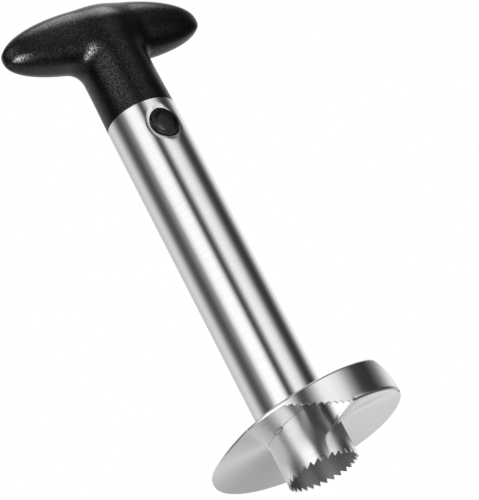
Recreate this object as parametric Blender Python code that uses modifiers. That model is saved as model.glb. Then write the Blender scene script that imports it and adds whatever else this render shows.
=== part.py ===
"""Pineapple slicer: a T-handle on a toothed core tube that carries a one-turn spiral blade.

The tool stands upright on its core teeth. +Z runs up the tube's axis, the origin is on that axis at the
level of the tooth tips, X runs along the T-bar and the two release buttons face -Y and +Y.
Lengths are in metres and angles in degrees. Angles go round from +X towards +Y.
"""

import math

import bmesh
import bpy
import numpy as np
from mathutils import Matrix

# Clearances and overruns shared by all pieces
SEAT_GAP = 0.0003
CUT_OVERRUN = 0.002

# Core tube
TUBE_RADIUS = 0.0160
TUBE_WALL = 0.0008
TUBE_LENGTH = 0.1815
TOOTH_COUNT = 30
TOOTH_DEPTH = 0.0019
TOOTH_START_ANGLE = -2.3
TOOTH_COLUMN_SHARES = (0.0, 0.16, 0.28, 0.64)
TOOTH_BOTTOM_SHARES = (1.0, 0.0, 0.0, 0.5)
TUBE_BAND_SHARE = 2.0

# Button hole and the dished wall round it
HOLE_DROP = 0.0124
DISH_DEPTH = 0.0009
DISH_FLAT_RADIUS = 0.0071
DISH_RADIUS = 0.0092
DISH_ROWS = 12

# Spiral blade, heights of the sheet's underside above the tooth tips
BLADE_RADIUS = 0.0435
SHEET_THICKNESS = 0.0008
RIM_HEIGHT = 0.0161
HUB_HEIGHT = 0.0198
LEAD_ANGLE = -89.3
LEAD_START_ANGLE = -17.3
LEAD_RIM_DROP = 0.0060
LEAD_HUB_DROP = 0.0102
TRAIL_ANGLE = 297.7
TRAIL_START_ANGLE = 172.7
TRAIL_RIM_RISE = 0.0112
TRAIL_HUB_RISE = 0.0066
RAMP_EASE_ANGLE = 15.0
BLADE_STEP_ANGLE = 5.0
BLADE_RINGS = 5
EDGE_THICKNESS_SHARE = 0.3

# Outer wall of the blade
WALL_INSET = 0.0001
WALL_START_ANGLE = 209.7
WALL_TOOTH_START_ANGLE = 234.7
WALL_TOOTH_DROP = 0.0015
WALL_END_ANGLE = 325.7
WALL_TOOTH_COUNT = 10
WALL_TOOTH_DEPTH = 0.0012
WALL_TOOTH_STEEP_SHARE = 0.15
WALL_EDGE_POWER = 1.5
WALL_TOP_POWER = 1.5
WALL_ROWS = 4

# Weld tacks under the blade's inner edge
WELD_RADIUS = 0.0007
WELD_LENGTH = 0.0046
WELD_TIP_SHARE = 0.35
WELD_ANGLES = {"weld_rear_right": 27.7, "weld_rear": 112.7, "weld_left": 202.7,
               "weld_upper_lip": 279.7, "weld_lower_lip": -60.3}
WELD_POINTS = 7

# T-handle
GRIP_LENGTH = 0.0998
GRIP_WIDTH = 0.0254
GRIP_HEIGHT = 0.0268
GRIP_CENTRE_RISE = 0.0441
GRIP_DROOP = 0.0018
GRIP_ROUNDING = 2.8
GRIP_LENGTH_ROUNDING = 2.15
GRIP_FILLET = 0.0058
STEM_NARROWING = 0.0003
STEM_WAIST_RISE = 0.0185
STEM_DOME_HEIGHT = 0.0120
GRIP_COLUMNS = 56
GRIP_ROWS = 33
GRIP_COLUMN_WARP = 0.35
GRIP_ROW_WARP = 0.2
SOCKET_DEPTH = 0.0120
SOCKET_RADIUS = 0.0100

# Plug that carries the buttons inside the tube
PLUG_CLEARANCE = 0.00035
PLUG_LENGTH = 0.0460
PLUG_CHAMFER = 0.0015
WEB_THICKNESS = 0.0070
LIP_THICKNESS = 0.0022

# Release buttons, slightly taller than they are wide
BUTTON_RADIUS = 0.0065
BUTTON_STRETCH_SHARE = 1.1
BUTTON_FLANGE_RADIUS = 0.0072
BUTTON_FLANGE_THICKNESS = 0.0016
BUTTON_STAND_OUT = 0.0002
BUTTON_CROWN = 0.0007
BUTTON_EDGE_RADIUS = 0.0007
BUTTON_RIDGE_HEIGHT = 0.00025
BUTTON_RIDGE_SHARES = (0.52, 0.62, 0.72)
BUTTON_WALL = 0.0014
BUTTON_ROOF = 0.0024

# Button springs
SPRING_RADIUS = 0.0038
SPRING_WIRE_RADIUS = 0.0003
SPRING_TURNS = 6
SPRING_POINTS_PER_TURN = 9

# Screws
CROSS_SCREW_RADIUS = 0.0015
CROSS_HEAD_RADIUS = 0.0029
CROSS_HEAD_HEIGHT = 0.0018
CROSS_SCREW_LENGTH = 0.0165
CROSS_HEAD_DEPTH = 0.000777
CROSS_FLAT_WALL = 0.0036
CROSS_SCREW_DROP = 0.0300
HANDLE_SCREW_RADIUS = 0.0020
HANDLE_HEAD_RADIUS = 0.0038
HANDLE_HEAD_HEIGHT = 0.0026
HANDLE_SCREW_LENGTH = 0.0250
HANDLE_SEAT_DROP = 0.0005
DRIVER_BORE_RADIUS = 0.0026
RECESS_WIDTH_SHARE = 0.22
RECESS_LENGTH_SHARE = 0.95
RECESS_DEPTH_SHARE = 0.55

TURN_STEPS = 48
SMALL_TURN_STEPS = 24

# Places that follow from the sizes above
BORE_RADIUS = TUBE_RADIUS - TUBE_WALL
HOLE_HEIGHT = TUBE_LENGTH - HOLE_DROP
DISH_PLANE = TUBE_RADIUS - DISH_DEPTH
HOLE_RADIUS = BUTTON_RADIUS + SEAT_GAP
HUB_RADIUS = TUBE_RADIUS + SEAT_GAP
PLUG_RADIUS = BORE_RADIUS - PLUG_CLEARANCE
PLUG_FLAT = DISH_PLANE - TUBE_WALL - SEAT_GAP
PLUG_BOTTOM = TUBE_LENGTH - PLUG_LENGTH
CHAMBER_RADIUS = BUTTON_FLANGE_RADIUS + SEAT_GAP
LIP_INNER = PLUG_FLAT - LIP_THICKNESS
NECK_RADIUS = SOCKET_RADIUS - SEAT_GAP
STEM_WAIST_RADIUS = TUBE_RADIUS - STEM_NARROWING
GRIP_BOTTOM = TUBE_LENGTH + SEAT_GAP
GRIP_CENTRE = GRIP_BOTTOM + GRIP_CENTRE_RISE
NECK_TOP = GRIP_BOTTOM + SOCKET_DEPTH - SEAT_GAP
BUTTON_INNER = LIP_INNER - SEAT_GAP - BUTTON_FLANGE_THICKNESS
BUTTON_SHOULDER = DISH_PLANE + BUTTON_STAND_OUT + BUTTON_EDGE_RADIUS
BUTTON_TOP = BUTTON_SHOULDER + BUTTON_CROWN
HANDLE_SEAT = TUBE_LENGTH - HANDLE_SEAT_DROP
CROSS_SCREW_HEIGHT = PLUG_BOTTOM + (PLUG_LENGTH - CROSS_SCREW_DROP)
# A cross screw's head leaves a wall towards the plug's flat, and its outer edge lies just below the plug's side.
CROSS_SCREW_OFFSET = PLUG_FLAT - CROSS_FLAT_WALL - SEAT_GAP - CROSS_HEAD_RADIUS
CROSS_HEAD_PLACE = math.sqrt((PLUG_RADIUS - CROSS_HEAD_DEPTH) ** 2
                             - (CROSS_SCREW_OFFSET + CROSS_HEAD_RADIUS) ** 2) - CROSS_HEAD_HEIGHT


def make_collection(name):
    collection = bpy.data.collections.new(name)
    bpy.context.scene.collection.children.link(collection)
    return collection


def make_material(name, colour, roughness, metallic):
    material = bpy.data.materials.new(name)
    material.use_nodes = True
    shader = material.node_tree.nodes["Principled BSDF"]
    shader.inputs["Base Color"].default_value = (*colour, 1.0)
    shader.inputs["Roughness"].default_value = roughness
    shader.inputs["Metallic"].default_value = metallic
    material.diffuse_color = (*colour, 1.0)
    return material


def add_object(name, data, collection, material=None):
    item = bpy.data.objects.new(name, data)
    collection.objects.link(item)
    if material:
        item.data.materials.append(material)
    return item


def mesh_from_bmesh(name, build):
    mesh = bpy.data.meshes.new(name)
    build.to_mesh(mesh)
    build.free()
    return mesh


def smooth(item, angle=30.0):
    item.data.shade_smooth()
    item.data.set_sharp_from_angle(angle=math.radians(angle))


def grid_mesh(name, points, round_closed=False):
    """An open surface through a grid of points, rows first; the last column joins the first if it goes round."""
    rows, columns = points.shape[:2]
    index = np.arange(rows * columns).reshape(rows, columns)
    after = np.roll(index, -1, axis=1)
    if not round_closed:
        index = index[:, :-1]
        after = after[:, :-1]
    corners = np.stack([index[:-1], after[:-1], after[1:], index[1:]], axis=-1).reshape(-1, 4)
    mesh = bpy.data.meshes.new(name)
    mesh.from_pydata(points.reshape(-1, 3).tolist(), [], corners.tolist())
    return mesh


def as_cutter(item):
    item.hide_render = True
    item.display_type = "WIRE"
    return item


def add_cylinder_cutter(name, radius, low, high, axis="Z", centre=(0.0, 0.0), steps=TURN_STEPS, stretch=1.0):
    """A cylinder from low to high along an axis; centre gives its place on the other two axes in XYZ order.

    A stretch other than 1 makes a lying cylinder an upright oval.
    """
    build = bmesh.new()
    bmesh.ops.create_cone(build, cap_ends=True, segments=steps, radius1=radius, radius2=radius, depth=high - low)
    middle = (high + low) / 2
    turns = {"X": Matrix.Rotation(math.pi / 2, 4, "Y"), "Y": Matrix.Rotation(-math.pi / 2, 4, "X"),
             "Z": Matrix.Identity(4)}
    places = {"X": (middle, *centre), "Y": (centre[0], middle, centre[1]), "Z": (*centre, middle)}
    oval = Matrix.Diagonal((1.0, 1.0, stretch, 1.0))
    bmesh.ops.transform(build, matrix=Matrix.Translation(places[axis]) @ oval @ turns[axis], verts=build.verts)
    return as_cutter(add_object(name, mesh_from_bmesh(name, build), cutters))


def add_box_cutter(name, low, high):
    build = bmesh.new()
    bmesh.ops.create_cube(build, size=1.0)
    low, high = np.array(low), np.array(high)
    place = Matrix.Translation((low + high) / 2) @ Matrix.Diagonal((*(high - low), 1.0))
    bmesh.ops.transform(build, matrix=place, verts=build.verts)
    return as_cutter(add_object(name, mesh_from_bmesh(name, build), cutters))


def cut(item, cutter, operation="DIFFERENCE"):
    modifier = item.modifiers.new(cutter.name, "BOOLEAN")
    modifier.operation = operation
    modifier.object = cutter
    modifier.solver = "EXACT"


def add_turned(name, profile, collection, material=None, steps=TURN_STEPS):
    """A profile of (radius, height) pairs, listed from the top of the axis down its outer side, turned round Z."""
    mesh = bpy.data.meshes.new(name)
    points = [(radius, 0.0, height) for radius, height in profile]
    edges = [(i, i + 1) for i in range(len(points) - 1)]
    mesh.from_pydata(points, edges, [])
    item = add_object(name, mesh, collection, material)
    turn = item.modifiers.new("turn", "SCREW")
    turn.steps = steps
    turn.render_steps = steps
    turn.use_merge_vertices = True
    turn.merge_threshold = 0.00001
    return item


def solidify(item, thickness, offset, name="thickness"):
    wall = item.modifiers.new(name, "SOLIDIFY")
    wall.thickness = thickness
    wall.offset = offset
    wall.use_even_offset = True
    return wall


def polar(radius, angle_deg, height):
    angle = np.radians(angle_deg)
    return np.stack(np.broadcast_arrays(radius * np.cos(angle), radius * np.sin(angle), height), axis=-1)


def smooth_step(value):
    value = np.clip(value, 0.0, 1.0)
    return value * value * (3.0 - 2.0 * value)


def dished(points):
    """Presses the tube wall in to a flat-bottomed dish round each button hole."""
    x, y, z = points[..., 0], points[..., 1], points[..., 2]
    distance = np.hypot(x, (z - HOLE_HEIGHT) / BUTTON_STRETCH_SHARE)
    weight = smooth_step((DISH_RADIUS - distance) / (DISH_RADIUS - DISH_FLAT_RADIUS))
    depth = np.maximum(np.abs(y) - DISH_PLANE, 0.0) * weight
    return np.stack([x, y - np.sign(y) * depth, z], axis=-1)


def add_core_tube():
    """A rolled tube with sawteeth round its mouth; each tooth's steep side leads when the tool turns clockwise."""
    pitch = 360.0 / TOOTH_COUNT
    tooth = np.arange(TOOTH_COUNT)[:, None]
    angles = (TOOTH_START_ANGLE + pitch * (tooth + np.array(TOOTH_COLUMN_SHARES))).reshape(-1)
    bottom = np.tile(TOOTH_DEPTH * np.array(TOOTH_BOTTOM_SHARES), TOOTH_COUNT)
    dish_reach = DISH_RADIUS * BUTTON_STRETCH_SHARE
    dish_rows = np.linspace(HOLE_HEIGHT - dish_reach, HOLE_HEIGHT + dish_reach, DISH_ROWS)
    levels = [bottom, np.full_like(bottom, TUBE_BAND_SHARE * TOOTH_DEPTH)]
    levels += [np.full_like(bottom, height) for height in (*dish_rows, TUBE_LENGTH)]
    points = dished(polar(TUBE_RADIUS, angles[None, :], np.array(levels)))
    tube = add_object("core_tube", grid_mesh("core_tube", points, round_closed=True), parts, brushed_steel)
    solidify(tube, TUBE_WALL, -1.0)
    merge = tube.modifiers.new("merge_flat_faces", "DECIMATE")
    merge.decimate_type = "DISSOLVE"
    merge.angle_limit = math.radians(0.05)
    reach = TUBE_RADIUS + CUT_OVERRUN
    cut(tube, add_cylinder_cutter("button_hole_cutter", HOLE_RADIUS, -reach, reach, "Y", (0.0, HOLE_HEIGHT),
                                  stretch=BUTTON_STRETCH_SHARE))
    smooth(tube)
    return tube


def ramp(angle, start, end):
    """Goes from 0 at the start angle to 1 at the end angle, easing in before it climbs evenly."""
    def climbed(travel):
        eased = travel * travel / (4.0 * RAMP_EASE_ANGLE)
        return np.where(travel < 2.0 * RAMP_EASE_ANGLE, eased, travel - RAMP_EASE_ANGLE)
    return climbed(np.maximum(angle - start, 0.0)) / climbed(np.array(end - start))


def blade_height(angle, rim_share):
    """Height of the sheet's underside at an angle, from the tube (rim_share 0) out to the rim (rim_share 1)."""
    lead = ramp(-angle, -LEAD_START_ANGLE, -LEAD_ANGLE)
    trail = ramp(angle, TRAIL_START_ANGLE, TRAIL_ANGLE)
    rim = RIM_HEIGHT - LEAD_RIM_DROP * lead + TRAIL_RIM_RISE * trail
    hub = HUB_HEIGHT - LEAD_HUB_DROP * lead + TRAIL_HUB_RISE * trail
    return hub + (rim - hub) * rim_share


def add_spiral_disc():
    """The disc: one turn and a bit of dished sheet whose leading lip drops and whose trailing lip climbs."""
    first = math.ceil(LEAD_ANGLE / BLADE_STEP_ANGLE) * BLADE_STEP_ANGLE
    angles = np.concatenate([[LEAD_ANGLE], np.arange(first, TRAIL_ANGLE, BLADE_STEP_ANGLE), [TRAIL_ANGLE]])
    angles = np.unique(angles)
    share = np.linspace(0.0, 1.0, BLADE_RINGS)[:, None]
    radius = HUB_RADIUS + (BLADE_RADIUS - HUB_RADIUS) * share
    points = polar(radius, angles[None, :], blade_height(angles[None, :], share))
    # Rows run outwards and columns go round, so the faces look up and the thickness is added above.
    mesh = grid_mesh("spiral_blade", points[::-1])
    disc = add_object("spiral_blade", mesh, parts, blade_steel)
    full = disc.vertex_groups.new(name="full_thickness")
    is_lead = np.isclose(np.tile(angles, BLADE_RINGS), LEAD_ANGLE)
    full.add(np.flatnonzero(~is_lead).tolist(), 1.0, "REPLACE")
    sheet = solidify(disc, SHEET_THICKNESS, 1.0)
    sheet.vertex_group = full.name
    sheet.thickness_vertex_group = EDGE_THICKNESS_SHARE
    return disc


def wall_outline(angle):
    """Bottom and top heights of the outer wall at each angle, without its teeth."""
    half_sheet = SHEET_THICKNESS / 2
    upper = blade_height(np.minimum(angle, TRAIL_ANGLE), 1.0) + half_sheet
    lower = blade_height(angle - 360.0, 1.0) + half_sheet
    past_lip = np.clip((angle - TRAIL_ANGLE) / (WALL_END_ANGLE - TRAIL_ANGLE), 0.0, 1.0)
    top = np.where(angle > TRAIL_ANGLE, lower + (upper - lower) * (1.0 - past_lip ** WALL_TOP_POWER), upper)
    lip_angle = LEAD_ANGLE + 360.0
    start_height = blade_height(WALL_TOOTH_START_ANGLE, 1.0) - WALL_TOOTH_DROP
    end_height = blade_height(LEAD_ANGLE, 1.0)
    left = np.clip((lip_angle - angle) / (lip_angle - WALL_TOOTH_START_ANGLE), 0.0, 1.0)
    serrated = end_height + (start_height - end_height) * left ** WALL_EDGE_POWER
    grown = (angle - WALL_START_ANGLE) / (WALL_TOOTH_START_ANGLE - WALL_START_ANGLE)
    hanging = upper - half_sheet * (1.0 - grown) - (half_sheet + WALL_TOOTH_DROP) * grown
    bottom = np.where(angle < WALL_TOOTH_START_ANGLE, hanging, np.where(angle < lip_angle, serrated, lower))
    return bottom, top


def add_blade_wall():
    """The upright wall that joins both lips at the rim, with sawteeth on its free lower edge."""
    lip_angle = LEAD_ANGLE + 360.0
    gullets = np.linspace(WALL_TOOTH_START_ANGLE, lip_angle, WALL_TOOTH_COUNT + 1)
    pitch = gullets[1] - gullets[0]
    tips = gullets[:-1] + WALL_TOOTH_STEEP_SHARE * pitch
    before = np.arange(WALL_START_ANGLE, WALL_TOOTH_START_ANGLE, BLADE_STEP_ANGLE)
    after = np.linspace(lip_angle, WALL_END_ANGLE, 1 + round((WALL_END_ANGLE - lip_angle) / BLADE_STEP_ANGLE))
    angles = np.concatenate([before, gullets, tips, after[1:]])
    tooth = np.concatenate([0.0 * before, 0.5 + 0.0 * gullets, -0.5 + 0.0 * tips, 0.0 * after[1:]])
    tooth[len(before) + WALL_TOOTH_COUNT] = 0.0
    order = np.argsort(angles)
    angles, tooth = angles[order], tooth[order]
    bottom, top = wall_outline(angles)
    bottom = bottom + WALL_TOOTH_DEPTH * tooth
    # The last column keeps a sliver of height inside the lower sheet, so the wall stays one closed solid.
    top = np.maximum(top, bottom + SHEET_THICKNESS / 4)
    share = np.linspace(0.0, 1.0, WALL_ROWS)[:, None]
    points = polar(BLADE_RADIUS - WALL_INSET, angles[None, :], bottom + (top - bottom) * share)
    wall = add_object("blade_wall_tool", grid_mesh("blade_wall_tool", points), cutters)
    solidify(wall, SHEET_THICKNESS, -1.0)
    return as_cutter(wall)


def add_spiral_blade():
    blade = add_spiral_disc()
    cut(blade, add_blade_wall(), "UNION")
    smooth(blade)
    return blade


def add_weld(name, angle):
    """A short bead in the corner between the tube and the sheet's underside, thin at both ends."""
    half_sweep = math.degrees(WELD_LENGTH / 2 / HUB_RADIUS)
    angles = np.linspace(angle - half_sweep, angle + half_sweep, WELD_POINTS)
    swell = np.sin(np.linspace(0.0, math.pi, WELD_POINTS))
    shares = WELD_TIP_SHARE + (1.0 - WELD_TIP_SHARE) * swell
    radius = HUB_RADIUS + WELD_RADIUS
    heights = blade_height(angles, 0.0) - SEAT_GAP - WELD_RADIUS
    curve = bpy.data.curves.new(name, "CURVE")
    curve.dimensions = "3D"
    curve.bevel_depth = WELD_RADIUS
    curve.bevel_resolution = 1
    curve.use_fill_caps = True
    spline = curve.splines.new("POLY")
    spline.points.add(WELD_POINTS - 1)
    for point, place, share in zip(spline.points, polar(radius, angles, heights), shares):
        point.co = (*place, 1.0)
        point.radius = share
    return add_object(name, curve, parts, weld_steel)


def grip_field(points):
    """Below zero inside the grip: a rounded bar and a round stem, blended where they meet.

    The bar is a stretched ball with its own rounding powers, sagging a little towards its ends. The stem is a
    round post that narrows slightly on its way up and ends in a dome inside the bar. The blend takes the smaller
    of the two distances and pushes the surface out where both are alike, which leaves a soft fillet in the corner.
    """
    x, y, z = points[..., 0], points[..., 1], points[..., 2]
    along = np.abs(x) / (GRIP_LENGTH / 2)
    rise = z - GRIP_CENTRE + GRIP_DROOP * along * along
    around = (np.abs(y) / (GRIP_WIDTH / 2)) ** GRIP_ROUNDING + (np.abs(rise) / (GRIP_HEIGHT / 2)) ** GRIP_ROUNDING
    power = GRIP_LENGTH_ROUNDING
    bar = ((along ** power + around ** (power / GRIP_ROUNDING)) ** (1.0 / power) - 1.0) * (GRIP_HEIGHT / 2)
    risen = smooth_step((z - GRIP_BOTTOM) / STEM_WAIST_RISE)
    stem_radius = TUBE_RADIUS + (STEM_WAIST_RADIUS - TUBE_RADIUS) * risen
    dome = np.maximum(z - GRIP_CENTRE, 0.0) / STEM_DOME_HEIGHT
    stem = (np.hypot(np.hypot(x, y) / stem_radius, dome) - 1.0) * stem_radius
    mix = np.clip(0.5 + 0.5 * (stem - bar) / GRIP_FILLET, 0.0, 1.0)
    return stem + (bar - stem) * mix - GRIP_FILLET * mix * (1.0 - mix)


def grip_surface(directions):
    """Follows each ray from the bar's centre out to where the field changes sign, by halving."""
    near = np.zeros(directions.shape[:-1])
    far = np.full(directions.shape[:-1], GRIP_LENGTH)
    centre = np.array([0.0, 0.0, GRIP_CENTRE])
    for _ in range(40):
        middle = (near + far) / 2
        inside = grip_field(centre + directions * middle[..., None]) < 0.0
        near = np.where(inside, middle, near)
        far = np.where(inside, far, middle)
    return centre + directions * near[..., None]


def add_handle_grip():
    """The T-handle: rays fan out from the bar's centre, from the stem's bottom edge round to the top.

    Both warps bring the rays closer together towards the ends of the bar.
    """
    edge_tilt = math.atan2(TUBE_RADIUS, GRIP_CENTRE - GRIP_BOTTOM)
    tilt = np.linspace(edge_tilt, math.pi, GRIP_ROWS)[:, None]
    tilt = tilt + GRIP_ROW_WARP * np.sin(2.0 * tilt)
    turn = np.linspace(0.0, 2.0 * math.pi, GRIP_COLUMNS, endpoint=False)
    turn = (turn - GRIP_COLUMN_WARP * np.sin(2.0 * turn))[None, :]
    directions = np.stack(np.broadcast_arrays(np.sin(tilt) * np.cos(turn), np.sin(tilt) * np.sin(turn),
                                              -np.cos(tilt)), axis=-1)
    points = grip_surface(directions)
    # The first ring is the stem's exact bottom edge.
    points[0] = polar(TUBE_RADIUS, np.degrees(turn[0]), GRIP_BOTTOM)
    build = bmesh.new()
    build.from_mesh(grid_mesh("handle_grip", points, round_closed=True))
    bmesh.ops.remove_doubles(build, verts=build.verts, dist=0.00001)
    bmesh.ops.holes_fill(build, edges=[edge for edge in build.edges if edge.is_boundary])
    bmesh.ops.recalc_face_normals(build, faces=build.faces)
    grip = add_object("handle_grip", mesh_from_bmesh("handle_grip", build), parts, black_grip)
    socket_bottom = GRIP_BOTTOM - CUT_OVERRUN
    cut(grip, add_cylinder_cutter("grip_socket_cutter", SOCKET_RADIUS, socket_bottom, GRIP_BOTTOM + SOCKET_DEPTH))
    pilot_radius = HANDLE_SCREW_RADIUS + SEAT_GAP
    pilot_top = HANDLE_SEAT + HANDLE_SCREW_LENGTH + SEAT_GAP
    cut(grip, add_cylinder_cutter("grip_pilot_cutter", pilot_radius, socket_bottom, pilot_top,
                                  steps=SMALL_TURN_STEPS))
    smooth(grip)
    return grip


def plug_cutters():
    """Every cut that the two plug halves share: flats, button chambers, screw holes and the driver bore."""
    reach = PLUG_RADIUS + CUT_OVERRUN
    below, above = PLUG_BOTTOM - CUT_OVERRUN, NECK_TOP + CUT_OVERRUN
    found = []
    for side, name in ((-1, "front"), (1, "rear")):
        flat = sorted((side * PLUG_FLAT, side * reach))
        found.append(add_box_cutter(f"plug_{name}_flat_cutter", (-reach, flat[0], below), (reach, flat[1], above)))
        chamber = [(0.0, reach), (HOLE_RADIUS, reach), (HOLE_RADIUS, LIP_INNER),
                   (CHAMBER_RADIUS, LIP_INNER), (CHAMBER_RADIUS, WEB_THICKNESS / 2), (0.0, WEB_THICKNESS / 2)]
        cutter = as_cutter(add_turned(f"plug_{name}_chamber_cutter", chamber, cutters))
        cutter.location = (0.0, 0.0, HOLE_HEIGHT)
        cutter.rotation_euler = (-side * math.pi / 2, 0.0, 0.0)
        cutter.scale = (1.0, BUTTON_STRETCH_SHARE, 1.0)
        found.append(cutter)
        place = (side * CROSS_SCREW_OFFSET, CROSS_SCREW_HEIGHT)
        tip = CROSS_HEAD_PLACE - CROSS_SCREW_LENGTH - SEAT_GAP
        found.append(add_cylinder_cutter(f"cross_{name}_hole_cutter", CROSS_SCREW_RADIUS + SEAT_GAP, tip,
                                         reach, "X", place, SMALL_TURN_STEPS))
        found.append(add_cylinder_cutter(f"cross_{name}_head_cutter", CROSS_HEAD_RADIUS + SEAT_GAP,
                                         CROSS_HEAD_PLACE - SEAT_GAP, reach, "X", place, SMALL_TURN_STEPS))
    pocket_bottom = HANDLE_SEAT - HANDLE_HEAD_HEIGHT - SEAT_GAP
    pocket_top = HANDLE_SEAT + SEAT_GAP
    axial = [(0.0, above), (HANDLE_SCREW_RADIUS + SEAT_GAP, above), (HANDLE_SCREW_RADIUS + SEAT_GAP, pocket_top),
             (HANDLE_HEAD_RADIUS + SEAT_GAP, pocket_top), (HANDLE_HEAD_RADIUS + SEAT_GAP, pocket_bottom),
             (DRIVER_BORE_RADIUS, pocket_bottom), (DRIVER_BORE_RADIUS, below), (0.0, below)]
    found.append(as_cutter(add_turned("plug_axial_cutter", axial, cutters, steps=SMALL_TURN_STEPS)))
    return found


def add_plug_half(name, side, shared_cutters):
    """One half of the plug, split down the middle so that the buttons can be laid in before it is closed."""
    profile = [(0.0, NECK_TOP), (NECK_RADIUS, NECK_TOP), (NECK_RADIUS, TUBE_LENGTH), (PLUG_RADIUS, TUBE_LENGTH),
               (PLUG_RADIUS, PLUG_BOTTOM + PLUG_CHAMFER), (PLUG_RADIUS - PLUG_CHAMFER, PLUG_BOTTOM),
               (0.0, PLUG_BOTTOM)]
    half = add_turned(name, profile, parts, plug_plastic)
    reach = PLUG_RADIUS + CUT_OVERRUN
    split = sorted((side * SEAT_GAP / 2, -side * reach))
    low = (split[0], -reach, PLUG_BOTTOM - CUT_OVERRUN)
    high = (split[1], reach, NECK_TOP + CUT_OVERRUN)
    cut(half, add_box_cutter(f"{name}_split_cutter", low, high))
    for cutter in shared_cutters:
        cut(half, cutter)
    smooth(half)
    return half


def button_profile():
    """Half-section of a hollow button, heights measured from its flange's inner face."""
    shoulder = BUTTON_SHOULDER - BUTTON_INNER
    top = BUTTON_TOP - BUTTON_INNER
    flat_radius = BUTTON_RADIUS - BUTTON_EDGE_RADIUS
    def crown(share):
        return top - BUTTON_CROWN * share * share
    inner, peak, outer = BUTTON_RIDGE_SHARES
    face = [(0.0, crown(0.0)), (inner / 2, crown(inner / 2)), (inner, crown(inner)),
            (peak, crown(peak) + BUTTON_RIDGE_HEIGHT), (outer, crown(outer))]
    points = [(flat_radius * share, height) for share, height in face]
    for turn in np.linspace(math.pi / 2, 0.0, 4):
        points.append((flat_radius + BUTTON_EDGE_RADIUS * math.cos(turn),
                       shoulder - BUTTON_EDGE_RADIUS + BUTTON_EDGE_RADIUS * math.sin(turn)))
    pocket_radius = BUTTON_RADIUS - BUTTON_WALL
    points += [(BUTTON_RADIUS, BUTTON_FLANGE_THICKNESS), (BUTTON_FLANGE_RADIUS, BUTTON_FLANGE_THICKNESS),
               (BUTTON_FLANGE_RADIUS, 0.0), (pocket_radius, 0.0), (pocket_radius, top - BUTTON_ROOF),
               (0.0, top - BUTTON_ROOF)]
    return points


def add_button(name, side):
    button = add_turned(name, button_profile(), parts, button_plastic, 40)
    button.location = (0.0, side * BUTTON_INNER, HOLE_HEIGHT)
    button.rotation_euler = (-side * math.pi / 2, 0.0, 0.0)
    button.scale = (1.0, BUTTON_STRETCH_SHARE, 1.0)
    smooth(button)
    return button


def add_spring(name, side):
    """A round-wire coil that stands between the plug's web and the button's roof."""
    low = WEB_THICKNESS / 2 + SEAT_GAP + SPRING_WIRE_RADIUS
    high = BUTTON_TOP - BUTTON_ROOF - SEAT_GAP - SPRING_WIRE_RADIUS
    count = SPRING_TURNS * SPRING_POINTS_PER_TURN + 1
    turn = np.linspace(0.0, 2.0 * math.pi * SPRING_TURNS, count)
    along = side * np.linspace(low, high, count)
    places = np.stack([SPRING_RADIUS * np.cos(turn), along, HOLE_HEIGHT + SPRING_RADIUS * np.sin(turn)], axis=-1)
    rise_per_turn = (high - low) / SPRING_TURNS
    print(f"{name}: least gap between its turns {1000 * (rise_per_turn - 2 * SPRING_WIRE_RADIUS):.2f} mm")
    curve = bpy.data.curves.new(name, "CURVE")
    curve.dimensions = "3D"
    curve.bevel_depth = SPRING_WIRE_RADIUS
    curve.bevel_resolution = 1
    curve.use_fill_caps = True
    spline = curve.splines.new("POLY")
    spline.points.add(count - 1)
    for point, place in zip(spline.points, places):
        point.co = (*place, 1.0)
    return add_object(name, curve, parts, spring_steel)


def add_screw(name, shank_radius, length, head_radius, head_height):
    """A pan-head screw standing on its head's underside: the head is below zero and the shank rises from it."""
    rounding = head_height / 3
    profile = [(0.0, length), (shank_radius / 2, length), (shank_radius, length - shank_radius), (shank_radius, 0.0),
               (head_radius, 0.0), (head_radius, rounding - head_height), (head_radius - rounding, -head_height),
               (0.0, -head_height)]
    screw = add_turned(name, profile, parts, screw_steel, SMALL_TURN_STEPS)
    half_width = head_radius * RECESS_WIDTH_SHARE / 2
    half_length = head_radius * RECESS_LENGTH_SHARE / 2
    bottom = head_height * (RECESS_DEPTH_SHARE - 1.0)
    for arm, (half_x, half_y) in {"a": (half_width, half_length), "b": (half_length, half_width)}.items():
        cutter = add_box_cutter(f"{name}_recess_{arm}_cutter", (-half_x, -half_y, -head_height - CUT_OVERRUN),
                                (half_x, half_y, bottom))
        cutter.parent = screw
        cut(screw, cutter)
    smooth(screw)
    return screw


def add_axis(name, place, parent=None):
    """An empty on a joint's axis, which carries the pieces that move with that joint."""
    empty = bpy.data.objects.new(name, None)
    empty.empty_display_size = TUBE_RADIUS
    empty.location = place
    parts.objects.link(empty)
    if parent:
        attach(empty, parent)
    return empty


def attach(item, parent):
    """Parents an item without moving it."""
    bpy.context.view_layer.update()
    item.parent = parent
    item.matrix_parent_inverse = parent.matrix_world.inverted()


for old in list(bpy.data.objects):
    bpy.data.objects.remove(old)
parts = make_collection("pineapple_slicer")
cutters = make_collection("cutters")

brushed_steel = make_material("brushed_steel", (0.72, 0.72, 0.73), 0.30, 1.0)
blade_steel = make_material("blade_steel", (0.70, 0.70, 0.71), 0.34, 1.0)
weld_steel = make_material("weld_steel", (0.42, 0.41, 0.40), 0.50, 1.0)
black_grip = make_material("black_grip", (0.018, 0.018, 0.019), 0.62, 0.0)
button_plastic = make_material("button_plastic", (0.020, 0.021, 0.024), 0.28, 0.0)
plug_plastic = make_material("plug_plastic", (0.030, 0.030, 0.032), 0.50, 0.0)
spring_steel = make_material("spring_steel", (0.60, 0.60, 0.62), 0.25, 1.0)
screw_steel = make_material("screw_steel", (0.55, 0.55, 0.56), 0.35, 1.0)

tube = add_core_tube()
blade = add_spiral_blade()
attach(blade, tube)
for weld_name, weld_angle in WELD_ANGLES.items():
    attach(add_weld(weld_name, weld_angle), tube)

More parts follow.
